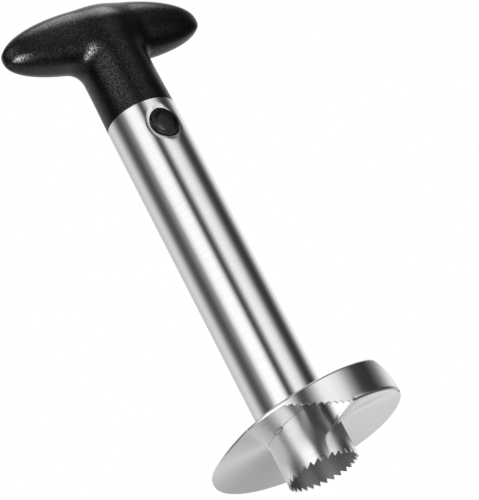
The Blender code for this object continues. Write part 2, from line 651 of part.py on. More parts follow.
pull_axis = add_axis("handle_pull_axis", (0.0, 0.0, TUBE_LENGTH))
grip = add_handle_grip()
attach(grip, pull_axis)
shared = plug_cutters()
for half_name, half_side in (("plug_left", -1), ("plug_right", 1)):
    attach(add_plug_half(half_name, half_side, shared), grip)

handle_screw = add_screw("handle_screw", HANDLE_SCREW_RADIUS, HANDLE_SCREW_LENGTH, HANDLE_HEAD_RADIUS,
                         HANDLE_HEAD_HEIGHT)
handle_screw.location = (0.0, 0.0, HANDLE_SEAT)
attach(handle_screw, grip)

for side, where in ((-1, "front"), (1, "rear")):
    screw = add_screw(f"plug_screw_{where}", CROSS_SCREW_RADIUS, CROSS_SCREW_LENGTH, CROSS_HEAD_RADIUS,
                      CROSS_HEAD_HEIGHT)
    screw.location = (CROSS_HEAD_PLACE, side * CROSS_SCREW_OFFSET, CROSS_SCREW_HEIGHT)
    screw.rotation_euler = (0.0, -math.pi / 2, 0.0)
    attach(screw, grip)
    press_axis = add_axis(f"{where}_press_axis", (0.0, side * BUTTON_INNER, HOLE_HEIGHT), pull_axis)
    attach(add_button(f"{where}_button", side), press_axis)
    attach(add_spring(f"{where}_button_spring", side), grip)
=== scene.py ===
# %% [markdown]
# A hand pineapple slicer, dressed for its portrait.
#
# The real tool is a long stainless tube with a toothed mouth, a spiral sheet-metal blade near that mouth and a black
# moulded T-handle that lifts off when two buttons are pinched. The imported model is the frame: it fixes where each
# piece is and how it moves. Here the visible pieces are made again as fine surfaces and given their finishes.
#
# All sizes are in metres, written as millimetres times MM. +Z runs up the tube, the tool stands on its teeth at
# z = 0, X runs along the T-bar and the buttons face -Y and +Y.

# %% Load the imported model
import math

import bmesh
import bpy
import numpy as np
from mathutils import Matrix, Vector


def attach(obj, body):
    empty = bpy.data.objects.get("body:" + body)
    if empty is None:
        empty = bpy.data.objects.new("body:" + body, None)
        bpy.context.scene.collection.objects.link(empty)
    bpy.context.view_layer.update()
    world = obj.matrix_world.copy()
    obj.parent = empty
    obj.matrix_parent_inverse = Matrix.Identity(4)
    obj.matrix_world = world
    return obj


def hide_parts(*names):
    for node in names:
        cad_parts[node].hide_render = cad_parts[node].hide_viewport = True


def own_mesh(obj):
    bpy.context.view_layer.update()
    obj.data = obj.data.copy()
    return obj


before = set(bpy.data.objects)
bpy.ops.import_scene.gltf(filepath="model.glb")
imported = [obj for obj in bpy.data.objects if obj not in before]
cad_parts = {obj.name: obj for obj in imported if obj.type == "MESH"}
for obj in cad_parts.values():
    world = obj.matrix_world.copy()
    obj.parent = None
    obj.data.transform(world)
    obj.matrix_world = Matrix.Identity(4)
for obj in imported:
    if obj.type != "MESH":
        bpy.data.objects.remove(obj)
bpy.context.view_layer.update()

MM = 0.001

# %% [markdown]
# The camera. A product shot like this one is taken with a long lens from more than a metre away, so the tube's
# edges stay nearly parallel. The tool leans away to the left, and the photographer looks a little up into its mouth.
# In the tool's own upright frame that is a camera low down, looking up, and rolled to its left. The camera could be
# aimed by a constraint, but a matrix built from three axes says exactly how it sits.

# %% Camera
CAMERA_AZIMUTH = math.radians(-33.3)
CAMERA_ELEVATION = math.radians(-22.0)
CAMERA_ROLL = math.radians(-27.585)
CAMERA_DISTANCE = 1250 * MM
CAMERA_TARGET = Vector((0.0, 0.0, 110 * MM))
CAMERA_AIM_RIGHT = 11.48 * MM
CAMERA_AIM_UP = -4.23 * MM
CAMERA_LENS = 210.16


def add_camera():
    """Stands back from the target, looks at a point a little beside it, and rolls about the line of sight."""
    flat = math.cos(CAMERA_ELEVATION)
    back = Vector((math.sin(CAMERA_AZIMUTH) * flat, -math.cos(CAMERA_AZIMUTH) * flat, math.sin(CAMERA_ELEVATION)))
    right = Vector((math.cos(CAMERA_AZIMUTH), math.sin(CAMERA_AZIMUTH), 0.0))
    place = CAMERA_TARGET + CAMERA_DISTANCE * back
    aim = CAMERA_TARGET + CAMERA_AIM_RIGHT * right + CAMERA_AIM_UP * back.cross(right)
    away = (place - aim).normalized()
    level = Vector((0.0, 0.0, 1.0)).cross(away).normalized()
    above = away.cross(level)
    side = math.cos(CAMERA_ROLL) * level + math.sin(CAMERA_ROLL) * above
    top = away.cross(side)
    camera = bpy.data.objects.new("photo_camera", bpy.data.cameras.new("photo_camera"))
    camera.data.lens = CAMERA_LENS
    camera.data.clip_start = 10 * MM
    camera.matrix_world = Matrix.Translation(place) @ Matrix((side, top, away)).transposed().to_4x4()
    bpy.context.scene.collection.objects.link(camera)
    bpy.context.scene.camera = camera
    return camera


photo_camera = add_camera()
print("camera at", [round(value, 3) for value in photo_camera.location])

# %% [markdown]
# The studio. Polished steel has no look of its own: it shows the room. A photographer stands white screens and
# black cards round such a tube, and they appear in it as bright and dark bars along its length. The cards could be
# modelled, but they are more simply painted on the sky. Each ring below is what stands round the tool at one height
# above the horizon: a list of compass directions with a brightness at each.

# %% Studio light
BACKDROP_WHITE = 1.0
FLOOR_GLOW, CEILING_GLOW = ((-180, 0.35), (180, 0.35)), ((-180, 1.0), (180, 1.0))
LOW_SCREEN = (
    (-180, 0.5), (-172, 0.6), (-162, 1.2), (-150, 1.5), (-128, 1.45), (-117, 0.85), (-107, 0.15), (-94, 0.12),
    (-86, 1.3), (-68, 1.3), (-50, 1.0), (-38, 0.5), (-26, 0.2), (0, 0.1), (38, 0.12), (50, 0.35), (60, 0.8),
    (80, 0.9), (120, 0.85), (150, 0.85), (160, 0.6), (170, 0.4), (180, 0.5),
)
TABLE_EDGE = (
    (-180, 0.4), (-160, 0.6), (-150, 1.0), (-128, 1.2), (-117, 0.7), (-109, 0.08), (-98, 0.08), (-84, 0.9),
    (-48, 0.9), (-32, 0.06), (10, 0.05), (30, 0.45), (52, 0.85), (80, 0.9), (120, 0.8), (150, 0.3), (165, 0.3), (180, 0.4),
)
TALL_SCREENS = (
    (-180, 0.18), (-170, 0.38), (-160, 1.1), (-150, 1.4), (-128, 1.4), (-119, 0.85), (-111, 0.05), (-103, 0.05),
    (-96, 0.4), (-86, 1.15), (-74, 1.2), (-60, 0.95), (-48, 0.35), (-38, 0.05), (-16, 0.03), (-2, 0.2), (10, 0.6),
    (24, 1.0), (60, 0.75), (93, 0.64), (120, 0.88), (135, 0.68), (148, 0.25), (158, 0.07), (170, 0.06), (180, 0.18),
)
HIGH_SCREENS = (
    (-180, 0.15), (-150, 0.2), (-110, 0.15), (-80, 0.15), (-40, 0.12), (0, 0.2), (30, 1.2), (55, 1.4), (80, 0.5),
    (120, 0.3), (180, 0.15),
)
SKY_RINGS = (
    (-80, FLOOR_GLOW), (-58, LOW_SCREEN), (-22, LOW_SCREEN), (-6, TABLE_EDGE), (2, TABLE_EDGE), (13, TALL_SCREENS),
    (29, TALL_SCREENS), (42, HIGH_SCREENS), (60, HIGH_SCREENS), (86, CEILING_GLOW),
)


def link(tree, source, target):
    tree.links.new(source, target)


def add_node(tree, kind, **settings):
    made = tree.nodes.new(kind)
    for name, value in settings.items():
        setattr(made, name, value)
    return made


def math_node(tree, operation, first, second=None):
    """A Math node whose inputs are either numbers or other nodes' outputs."""
    made = add_node(tree, "ShaderNodeMath", operation=operation)
    for socket, value in zip(made.inputs, (first, second)):
        if isinstance(value, (int, float)):
            socket.default_value = value
        elif value is not None:
            link(tree, value, socket)
    return made.outputs[0]


def ramp_node(tree, factor, stops, interpolation="LINEAR"):
    """A colour ramp from (place, grey or colour) stops."""
    made = add_node(tree, "ShaderNodeValToRGB")
    made.color_ramp.interpolation = interpolation
    elements = made.color_ramp.elements
    while len(elements) < len(stops):
        elements.new(1.0)
    for element, (place, shade) in zip(elements, stops):
        element.position = place
        colour = shade if isinstance(shade, tuple) else (shade,) * 3
        element.color = (*colour, 1.0)
    link(tree, factor, made.inputs[0])
    return made.outputs[0]


def add_studio_light():
    """Each ring is a ramp along the compass, and the height above the horizon blends one ring into the next."""
    world = bpy.data.worlds.new("studio")
    bpy.context.scene.world = world
    world.use_nodes = True
    tree = world.node_tree
    tree.nodes.clear()
    direction = add_node(tree, "ShaderNodeTexCoord").outputs["Generated"]
    axes = add_node(tree, "ShaderNodeSeparateXYZ")
    link(tree, direction, axes.inputs[0])
    compass = math_node(tree, "ARCTAN2", axes.outputs[1], axes.outputs[0])
    turned = math_node(tree, "MULTIPLY_ADD", compass, 0.5 / math.pi)
    turned.node.inputs[2].default_value = 0.5
    sky, last_height = None, None
    for height, screens in SKY_RINGS:
        ring = ramp_node(tree, turned, [((angle + 180.0) / 360.0, shade) for angle, shade in screens])
        if sky is None:
            sky, last_height = ring, height
            continue
        climb = add_node(tree, "ShaderNodeMapRange", interpolation_type="SMOOTHSTEP")
        climb.inputs["From Min"].default_value = math.sin(math.radians(last_height))
        climb.inputs["From Max"].default_value = math.sin(math.radians(height))
        link(tree, axes.outputs[2], climb.inputs["Value"])
        blend = add_node(tree, "ShaderNodeMix", data_type="RGBA")
        link(tree, climb.outputs[0], blend.inputs["Factor"])
        link(tree, sky, blend.inputs["A"])
        link(tree, ring, blend.inputs["B"])
        sky, last_height = blend.outputs["Result"], height
    lit = add_node(tree, "ShaderNodeBackground")
    link(tree, sky, lit.inputs["Color"])
    seen = add_node(tree, "ShaderNodeBackground")
    seen.inputs["Color"].default_value = (BACKDROP_WHITE, BACKDROP_WHITE, BACKDROP_WHITE, 1.0)
    chosen = add_node(tree, "ShaderNodeMixShader")
    link(tree, add_node(tree, "ShaderNodeLightPath").outputs["Is Camera Ray"], chosen.inputs[0])
    link(tree, lit.outputs[0], chosen.inputs[1])
    link(tree, seen.outputs[0], chosen.inputs[2])
    link(tree, chosen.outputs[0], add_node(tree, "ShaderNodeOutputWorld").inputs["Surface"])
    return world


add_studio_light()
bpy.context.scene.view_settings.view_transform = "Standard"
print(len(SKY_RINGS), "rings of screens, cards and lamps round the tool")

# %% [markdown]
# Finishes are built from noise that is squeezed in one direction. Brushing leaves fine scratches that are long
# one way and hair-thin the other, so the noise is stretched along the brush and packed tight across it. The
# scratches also smear reflections across themselves, which the shader's anisotropy does from a tangent that runs
# round the tube.

# %% Brushed steel


def new_material(name):
    """A material with a Principled shader, and its tree."""
    material = bpy.data.materials.new(name)
    material.use_nodes = True
    return material, material.node_tree, material.node_tree.nodes["Principled BSDF"]


def stretched_noise(tree, scale, detail=2.0, offset=0.0):
    """Noise on the piece's own coordinates with its own number of cells per metre along X, Y and Z."""
    place = add_node(tree, "ShaderNodeTexCoord").outputs["Object"]
    mapping = add_node(tree, "ShaderNodeMapping")
    mapping.inputs["Scale"].default_value = scale
    mapping.inputs["Location"].default_value = (offset, offset, offset)
    link(tree, place, mapping.inputs["Vector"])
    noise = add_node(tree, "ShaderNodeTexNoise")
    noise.inputs["Scale"].default_value = 1.0
    noise.inputs["Detail"].default_value = detail
    link(tree, mapping.outputs[0], noise.inputs["Vector"])
    return noise.outputs[0]


def spread(tree, value, low, high, from_low=0.3, from_high=0.7):
    """Carries a noise value onto the range from low to high."""
    made = add_node(tree, "ShaderNodeMapRange")
    made.inputs["From Min"].default_value = from_low
    made.inputs["From Max"].default_value = from_high
    made.inputs["To Min"].default_value = low
    made.inputs["To Max"].default_value = high
    link(tree, value, made.inputs["Value"])
    return made.outputs[0]


def brushed_steel(name, tint, roughness, anisotropy, along, across, brushed="ring", bump=0.06):
    """Steel with scratches of `across` lines per metre, each about 1/`along` metres long.

    A ring brush runs round the Z axis, so the noise is fine along Z. A straight brush runs along X, so it is
    fine along Y. Two sizes of scratch are added up, and together they move the colour, roughness and height.
    """
    material, tree, shader = new_material(name)
    fine_scale = (along, along, across) if brushed == "ring" else (along, across, along)
    coarse_scale = tuple(value / 3 for value in fine_scale)
    fine = stretched_noise(tree, fine_scale, 3.0)
    coarse = stretched_noise(tree, coarse_scale, 2.0, 7.3)
    scratches = math_node(tree, "ADD", math_node(tree, "MULTIPLY", fine, 0.8), math_node(tree, "MULTIPLY", coarse, 0.2))
    dark = tuple(0.92 * value for value in tint)
    link(tree, ramp_node(tree, scratches, ((0.3, dark), (0.7, tint))), shader.inputs["Base Color"])
    link(tree, spread(tree, scratches, roughness * 1.12, roughness * 0.9), shader.inputs["Roughness"])
    lift = add_node(tree, "ShaderNodeBump")
    lift.inputs["Strength"].default_value = bump
    lift.inputs["Distance"].default_value = 0.05 * MM
    link(tree, scratches, lift.inputs["Height"])
    link(tree, lift.outputs[0], shader.inputs["Normal"])
    shader.inputs["Metallic"].default_value = 1.0
    if anisotropy:
        round_axis = add_node(tree, "ShaderNodeTangent", direction_type="RADIAL", axis="Z")
        link(tree, round_axis.outputs[0], shader.inputs["Tangent"])
        shader.inputs["Anisotropic"].default_value = anisotropy
        shader.inputs["Anisotropic Rotation"].default_value = 0.25
    return material


def roughen_bore_and_paint_shade(material, radius, roughness, shade):
    """Within a radius of the Z axis: rougher metal, and painted shade that keeps this share of the colour."""
    tree = material.node_tree
    shader = tree.nodes["Principled BSDF"]
    flat = add_node(tree, "ShaderNodeVectorMath", operation="MULTIPLY")
    link(tree, add_node(tree, "ShaderNodeTexCoord").outputs["Object"], flat.inputs[0])
    flat.inputs[1].default_value = (1.0, 1.0, 0.0)
    away = add_node(tree, "ShaderNodeVectorMath", operation="LENGTH")
    link(tree, flat.outputs[0], away.inputs[0])
    inside = math_node(tree, "LESS_THAN", away.outputs["Value"], radius)
    brushed = shader.inputs["Roughness"].links[0].from_socket
    lowest = math_node(tree, "MULTIPLY", inside, roughness)
    link(tree, math_node(tree, "MAXIMUM", brushed, lowest), shader.inputs["Roughness"])
    # Painted shade: the colour inside the bore is darkened to the given share of its brightness.
    colour = shader.inputs["Base Color"].links[0].from_socket
    painted_bore_shade = add_node(tree, "ShaderNodeVectorMath", operation="SCALE")
    link(tree, colour, painted_bore_shade.inputs[0])
    link(tree, spread(tree, inside, 1.0, shade, 0.0, 1.0), painted_bore_shade.inputs["Scale"])
    link(tree, painted_bore_shade.outputs[0], shader.inputs["Base Color"])


tube_finish = brushed_steel("tube_brushed_steel", (0.80, 0.80, 0.80), 0.21, 0.8, 40.0, 7500.0, bump=0.008)
# The bore is rougher, and painted shade darkens its colour to 0.6 of the brushed steel's.
roughen_bore_and_paint_shade(tube_finish, 15.5 * MM, 0.5, 0.6)
wall_finish = brushed_steel("blade_wall_steel", (0.78, 0.78, 0.79), 0.18, 0.5, 40.0, 7000.0, bump=0.006)
disc_finish = brushed_steel("blade_disc_steel", (0.78, 0.78, 0.785), 0.25, 0.35, 50.0, 6000.0, "straight", 0.004)
print("steels:", tube_finish.name, wall_finish.name, disc_finish.name)

# %% [markdown]
# Black plastics. The handle is moulded in a spark-eroded tool, which leaves a fine pebbled skin: tiny facets that
# each catch a glint, so the black looks peppered. Two sizes of noise raise the skin. The grains that stand up are
# smoother, and their colour is a shade lighter as painted glints. The buttons are moulded in a polished tool and stay
# smooth.

# %% Plastics


def grained_plastic(name, colour, roughness, gloss, grains_per_metre, height, pit_gloss):
    """Black plastic with a pebbled skin that stands up by `height`.

    The tops of the grains are polished by the mould and mirror the room; the pits between them mirror only a share
    of it, `pit_gloss`.
    """
    material, tree, shader = new_material(name)
    scale = (grains_per_metre,) * 3
    pebbles = stretched_noise(tree, scale, 1.0)
    dust = stretched_noise(tree, tuple(2.3 * value for value in scale), 1.0, 4.2)
    skin = math_node(tree, "ADD", math_node(tree, "MULTIPLY", pebbles, 0.6), math_node(tree, "MULTIPLY", dust, 0.4))
    # Painted glints: the tops of the grains get a lighter colour, 2.5 times the base colour.
    painted_glint = tuple(2.5 * value for value in colour)
    link(tree, ramp_node(tree, skin, ((0.45, colour), (0.6, painted_glint))), shader.inputs["Base Color"])
    link(tree, ramp_node(tree, skin, ((0.44, pit_gloss), (0.58, 1.0))), shader.inputs["Specular Tint"])
    link(tree, spread(tree, skin, roughness * 1.15, roughness * 0.85, 0.35, 0.65), shader.inputs["Roughness"])
    lift = add_node(tree, "ShaderNodeBump")
    lift.inputs["Strength"].default_value = 1.0
    lift.inputs["Distance"].default_value = height
    link(tree, skin, lift.inputs["Height"])
    link(tree, lift.outputs[0], shader.inputs["Normal"])
    shader.inputs["Specular IOR Level"].default_value = gloss
    return material


grip_finish = grained_plastic("grip_spark_black", (0.0002, 0.0002, 0.0002), 0.28, 0.30, 1500.0, 0.08 * MM, 0.18)
button_finish = grained_plastic("button_satin_black", (0.0008, 0.0012, 0.0018), 0.22, 0.4, 900.0, 0.003 * MM, 0.6)
plug_finish = grained_plastic("plug_moulded_black", (0.010, 0.010, 0.011), 0.40, 0.5, 700.0, 0.02 * MM, 0.6)
print("plastics:", grip_finish.name, button_finish.name, plug_finish.name)

# %% [markdown]
# Small metal parts. A weld tack cools rough and takes a straw-brown tint. The springs are drawn wire and the screws
# are zinc-plated, which leaves a faint mottled blue-grey.

# %% Weld, wire and screw finishes


def mottled_metal(name, first, second, roughness, spots_per_metre, height):
    """Metal whose colour wanders between two tints in soft spots, with a little relief."""
    material, tree, shader = new_material(name)
    spots = stretched_noise(tree, (spots_per_metre,) * 3, 3.0)
    link(tree, ramp_node(tree, spots, ((0.35, first), (0.65, second))), shader.inputs["Base Color"])
    link(tree, spread(tree, spots, roughness * 0.8, roughness * 1.2), shader.inputs["Roughness"])
    lift = add_node(tree, "ShaderNodeBump")
    lift.inputs["Strength"].default_value = 0.5
    lift.inputs["Distance"].default_value = height
    link(tree, spots, lift.inputs["Height"])
    link(tree, lift.outputs[0], shader.inputs["Normal"])
    shader.inputs["Metallic"].default_value = 1.0
    return material


weld_finish = mottled_metal("weld_tint", (0.30, 0.28, 0.26), (0.62, 0.61, 0.60), 0.38, 1600.0, 0.08 * MM)
wire_finish = mottled_metal("drawn_wire", (0.55, 0.55, 0.57), (0.68, 0.68, 0.70), 0.24, 3000.0, 0.01 * MM)
screw_finish = mottled_metal("zinc_plate", (0.50, 0.52, 0.55), (0.62, 0.63, 0.64), 0.32, 1200.0, 0.01 * MM)
print("small metals:", weld_finish.name, wire_finish.name, screw_finish.name)

# %% [markdown]
# Every new piece is a grid of points worked out with numpy. One helper turns a grid into a mesh, another gives a
# sheet its thickness and takes the sharpness off its edges. A modelled edge is never perfectly sharp: the hair-thin
# round on it is what catches the light.

# %% From a grid of points to a piece


def polar(radius, angle, height):
    """Points at a radius, an angle in radians from +X towards +Y, and a height, stacked along a last axis."""
    return np.stack(np.broadcast_arrays(radius * np.cos(angle), radius * np.sin(angle), height), axis=-1)


def smooth_step(value):
    """0 below 0, 1 above 1, and 3v^2 - 2v^3 between."""
    value = np.clip(value, 0.0, 1.0)
    return value * value * (3.0 - 2.0 * value)


def grid_quads(rows, columns, keep=None, first=0):
    """Corner numbers of each cell of a grid; keep says which cells are made."""
    index = first + np.arange(rows * columns).reshape(rows, columns)
    quads = np.stack([index[:-1, :-1], index[:-1, 1:], index[1:, 1:], index[1:, :-1]], axis=-1)
    return quads[keep] if keep is not None else quads.reshape(-1, 4)


def mesh_object(name, points, quads):
    """One object from points and quads.

    Points that coincide are merged, so seams and poles are closed, and points that no face uses are dropped.
    """
    mesh = bpy.data.meshes.new(name)
    mesh.from_pydata(np.reshape(points, (-1, 3)).tolist(), [], quads.tolist())
    build = bmesh.new()
    build.from_mesh(mesh)
    bmesh.ops.delete(build, geom=[point for point in build.verts if not point.link_faces], context="VERTS")
    bmesh.ops.remove_doubles(build, verts=build.verts, dist=0.002 * MM)
    build.to_mesh(mesh)
    build.free()
    item = bpy.data.objects.new(name, mesh)
    bpy.context.scene.collection.objects.link(item)
    return item


def thicken(item, thickness, edge_radius, taper_group=None, taper_share=1.0):
    """Gives an open surface a wall on its back side and rounds the rims."""
    wall = item.modifiers.new("wall", "SOLIDIFY")
    wall.thickness = thickness
    wall.offset = -1.0
    wall.use_even_offset = True
    if taper_group:
        wall.vertex_group = taper_group
        wall.thickness_vertex_group = taper_share
    if edge_radius:
        rounding = item.modifiers.new("edge", "BEVEL")
        rounding.width = edge_radius
        rounding.segments = 2
        rounding.limit_method = "ANGLE"
        rounding.angle_limit = math.radians(40.0)
        rounding.use_clamp_overlap = True
        rounding.harden_normals = True
    item.data.shade_smooth()


def finish_piece(item, material, body, sharp_angle=None, replaced=()):
    """Makes the modifiers' result the piece's own mesh, gives it its material and hangs it on its body.

    A thickened piece has no sharp angle: its bevel has set the corner normals, and sharpening would turn them.
    """
    result = bpy.data.meshes.new_from_object(item.evaluated_get(bpy.context.evaluated_depsgraph_get()))
    item.modifiers.clear()
    item.data = result
    item.vertex_groups.clear()
    if sharp_angle is not None:
        result.shade_smooth()
        result.set_sharp_from_angle(angle=math.radians(sharp_angle))
    result.materials.clear()
    result.materials.append(material)
    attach(item, body)
    if replaced:
        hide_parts(*replaced)
    result.calc_loop_triangles()
    print(f"{item.name}: {len(result.loop_triangles)} triangles")
    return item


# %% [markdown]
# The core tube: thin stainless sheet rolled and ground, with thirty sawteeth round its mouth. Each tooth rises
# steeply on one side and slopes away on the other, like a saw's. The wall is pressed in to a shallow dish round each
# button hole. A Boolean would cut the hole but leave long thin faces that spoil the reflections, so a window is
# left out of the grid there, and a patch of rings fills it, going from the window's square edge to the round hole.

# %% Core tube
TUBE_RADIUS = 16.0 * MM
TUBE_WALL = 0.8 * MM
TUBE_LENGTH = 181.5 * MM
TOOTH_COUNT = 30
TOOTH_DEPTH = 1.9 * MM
TOOTH_START = math.radians(-2.3)
TOOTH_PLACE_SHARES = np.array([0.0, 0.08, 0.15, 0.19, 0.24, 0.36, 0.49, 0.62, 0.75, 0.88])
TOOTH_TIP_SHARES = (0.17, 0.22)
HOLE_HEIGHT = 169.1 * MM
HOLE_RADIUS = 6.8 * MM
HOLE_STRETCH = 1.1
DISH_PLANE, DISH_REACH = 15.75 * MM, 2.8 * MM
SINK_DEPTH, SINK_REACH = 0.2 * MM, 1.8 * MM
ROLL_DEPTH, ROLL_REACH = 0.12 * MM, 0.55 * MM
WINDOW_HALF = 10.6 * MM
FRONT, REAR = math.radians(-90.0), math.radians(90.0)


def dished(points):
    """Presses the wall in round each hole: to a plane, then a little deeper, then over a rolled rim.

    Each of the three fades out with its own reach, measured from the rim of the hole.
    """
    x, y, z = points[..., 0], points[..., 1], points[..., 2]
    away = np.hypot(x, (z - HOLE_HEIGHT) / HOLE_STRETCH) - HOLE_RADIUS
    depth = np.maximum(np.abs(y) - DISH_PLANE, 0.0) * smooth_step(1.0 - away / DISH_REACH)
    depth = depth + SINK_DEPTH * smooth_step(1.0 - away / SINK_REACH)
    depth = depth + ROLL_DEPTH * np.clip(1.0 - away / ROLL_REACH, 0.0, 1.0) ** 2
    return np.stack([x, y - np.sign(y) * depth, z], axis=-1)


def tooth_edge(share):
    """Height of the mouth's edge along one tooth: steeply down to the tip, then evenly up to the next gullet."""
    start, end = TOOTH_TIP_SHARES
    return TOOTH_DEPTH * np.maximum(np.clip(1.0 - share / start, 0.0, 1.0), np.clip((share - end) / (1.0 - end), 0, 1))


def hole_patch(loop, side):
    """Rings from a closed loop of window corners in to the oval hole, evenly in x and z."""
    x, z = loop[:, 0], loop[:, 2] - HOLE_HEIGHT
    direction = np.arctan2(z / HOLE_STRETCH, x)
    share = 1.0 - np.linspace(1.0, 0.0, 30)[:, None] ** 1.6
    ring_x = x + (HOLE_RADIUS * np.cos(direction) - x) * share
    ring_z = z + (HOLE_RADIUS * HOLE_STRETCH * np.sin(direction) - z) * share
    ring_y = side * np.sqrt(TUBE_RADIUS ** 2 - ring_x ** 2)
    return dished(np.stack([ring_x, ring_y, ring_z + HOLE_HEIGHT], axis=-1))


def window_loop(points, rows, columns, side):
    """The edge of the window once round, first corner repeated at the end, in an order that faces outwards."""
    low, high = rows
    left, right = columns
    loop = np.concatenate([points[low, left:right], points[low:high, right], points[high, right:left:-1],
                           points[high:low - 1:-1, left]])
    return loop


def make_tube():
    shares = (np.arange(TOOTH_COUNT)[:, None] + TOOTH_PLACE_SHARES[None, :]).reshape(-1)
    shares = np.append(shares, TOOTH_COUNT)
    # The seam of the grid lies at the rear right, away from both windows.
    angles = TOOTH_START + 2.0 * math.pi * shares / TOOTH_COUNT
    edge = tooth_edge(shares % 1.0)
    band = np.array([0.35, 0.7, 1.0])[:, None]
    foot = edge + (2.0 * TOOTH_DEPTH - edge) * band
    levels = np.concatenate([np.linspace(10 * MM, 150 * MM, 29), np.linspace(152 * MM, TUBE_LENGTH - 0.2 * MM, 33),
                             [TUBE_LENGTH]])
    heights = np.vstack([edge, foot, np.repeat(levels[:, None], len(angles), axis=1)])
    plain = polar(TUBE_RADIUS, angles[None, :], heights)
    points = dished(plain)
    rows, columns = heights.shape
    keep = np.ones((rows - 1, columns - 1), bool)
    row_heights = heights[:, 0]
    low = int(np.argmax(row_heights > HOLE_HEIGHT - WINDOW_HALF))
    high = int(np.argmax(row_heights > HOLE_HEIGHT + WINDOW_HALF))
    all_points, all_quads = [points.reshape(-1, 3)], []
    first = rows * columns
    for side, middle in ((-1, FRONT), (1, REAR)):
        away = np.abs((angles - middle + math.pi) % (2.0 * math.pi) - math.pi) * TUBE_RADIUS
        inside = np.flatnonzero(away < WINDOW_HALF)
        left, right = inside[0], inside[-1]
        keep[low:high, left:right] = False
        patch = hole_patch(window_loop(plain, (low, high), (left, right), side), side)
        all_points.append(patch.reshape(-1, 3))
        all_quads.append(grid_quads(*patch.shape[:2], first=first))
        first += patch.shape[0] * patch.shape[1]
    all_quads.insert(0, grid_quads(rows, columns, keep))
    tube = mesh_object("tube", np.concatenate(all_points), np.concatenate(all_quads))
    thicken(tube, TUBE_WALL, 0.07 * MM)
    return finish_piece(tube, tube_finish, "cutter", replaced=["core_tube"])


tube = make_tube()

# %% [markdown]
# The spiral blade: one sheet of stainless, cut as a ring and sprung like a lock washer, so that its leading lip dips
# and its trailing lip climbs. The height of the sheet is a function of the angle round the tube and of the way out
# from the tube to the rim, so the whole disc is one grid. Its leading lip is ground thin.

# %% Spiral disc
BLADE_RADIUS = 43.5 * MM
HUB_RADIUS = 16.3 * MM
SHEET = 0.8 * MM
RIM_HEIGHT = 16.1 * MM
HUB_HEIGHT = 19.8 * MM
LEAD_ANGLE, LEAD_START = math.radians(-89.3), math.radians(-17.3)
LEAD_RIM_DROP, LEAD_HUB_DROP = 6.0 * MM, 10.2 * MM
TRAIL_ANGLE, TRAIL_START = math.radians(297.7), math.radians(172.7)
TRAIL_RIM_RISE, TRAIL_HUB_RISE = 11.2 * MM, 6.6 * MM
RAMP_EASE = math.radians(15.0)
FULL_TURN = 2.0 * math.pi
BEND_RADIUS = 1.3 * MM
GRIND_WIDTH = 2.2 * MM


def ramp(angle, start, end):
    """0 at the start angle and 1 at the end angle: the square of the way at first, then a straight climb."""
    def climbed(travel):
        return np.where(travel < 2.0 * RAMP_EASE, travel ** 2 / (4.0 * RAMP_EASE), travel - RAMP_EASE)
    return climbed(np.maximum(angle - start, 0.0)) / climbed(np.array(end - start))


def underside(angle, radius):
    """Height of the sheet's underside: a straight line from hub to rim, both of which rise and fall with the angle."""
    share = (radius - HUB_RADIUS) / (BLADE_RADIUS - HUB_RADIUS)
    lead, trail = ramp(-angle, -LEAD_START, -LEAD_ANGLE), ramp(angle, TRAIL_START, TRAIL_ANGLE)
    rim = RIM_HEIGHT - LEAD_RIM_DROP * lead + TRAIL_RIM_RISE * trail
    hub = HUB_HEIGHT - LEAD_HUB_DROP * lead + TRAIL_HUB_RISE * trail
    return hub + (rim - hub) * share


WALL_START = math.radians(209.7)
WALL_TOOTH_START = math.radians(234.7)
WALL_END = math.radians(325.7)
LIP_ANGLE = LEAD_ANGLE + FULL_TURN
WALL_TOOTH_COUNT = 10
WALL_TOOTH_DEPTH = 1.2 * MM
WALL_TOOTH_STEEP_SHARE = 0.15
WALL_TOOTH_DROP = 1.5 * MM


def disc_rim(angle):
    """The disc stops short of the full radius where the wall's rounded bend takes over from it."""
    above = smooth_step((angle - WALL_START) / math.radians(4.0))
    below = smooth_step((WALL_END - FULL_TURN - angle) / math.radians(6.0))
    return BLADE_RADIUS - (BEND_RADIUS - 0.05 * MM) * np.maximum(above, below)


def make_disc():
    ground = GRIND_WIDTH / BLADE_RADIUS
    angles = np.concatenate([LEAD_ANGLE + ground * np.array([0.0, 0.1, 0.4, 0.7]),
                             np.linspace(LEAD_ANGLE + ground, TRAIL_ANGLE, 257)])
    share = np.linspace(0.0, 1.0, 22)[:, None]
    radius = HUB_RADIUS + (disc_rim(angles)[None, :] - HUB_RADIUS) * share
    points = polar(radius, angles[None, :], underside(angles[None, :], radius) + SHEET)
    disc = mesh_object("spiral_disc", points[::-1], grid_quads(*points.shape[:2]))
    # The ground lip: full thickness from the grinding line on, and a tenth of it at the edge.
    places = np.array([vertex.co for vertex in disc.data.vertices])
    angle = np.arctan2(places[:, 1], places[:, 0])
    lip = (np.abs(places[:, 2] - SHEET - underside(angle, np.hypot(places[:, 0], places[:, 1]))) < 0.05 * MM)
    behind = (angle - LEAD_ANGLE) * np.hypot(places[:, 0], places[:, 1])
    weight = np.where(lip & (behind < GRIND_WIDTH), np.clip(behind / GRIND_WIDTH, 0.0, 1.0), 1.0)
    group = disc.vertex_groups.new(name="thickness")
    for value in np.unique(weight):
        group.add(np.flatnonzero(weight == value).tolist(), float(value), "REPLACE")
    thicken(disc, SHEET, 0.1 * MM, "thickness", 0.12)
    return finish_piece(disc, disc_finish, "cutter", replaced=["spiral_blade"])


disc = make_disc()

# %% [markdown]
# The blade's outer wall joins both lips at the rim and does the peeling. It is bent down from the upper lip and
# meets the lower lip in a second bend. Its free edge is cut into sawteeth. The wall is a profile carried round the
# rim: in at the top bend, straight down, and in again at the bottom bend.

# %% Blade wall


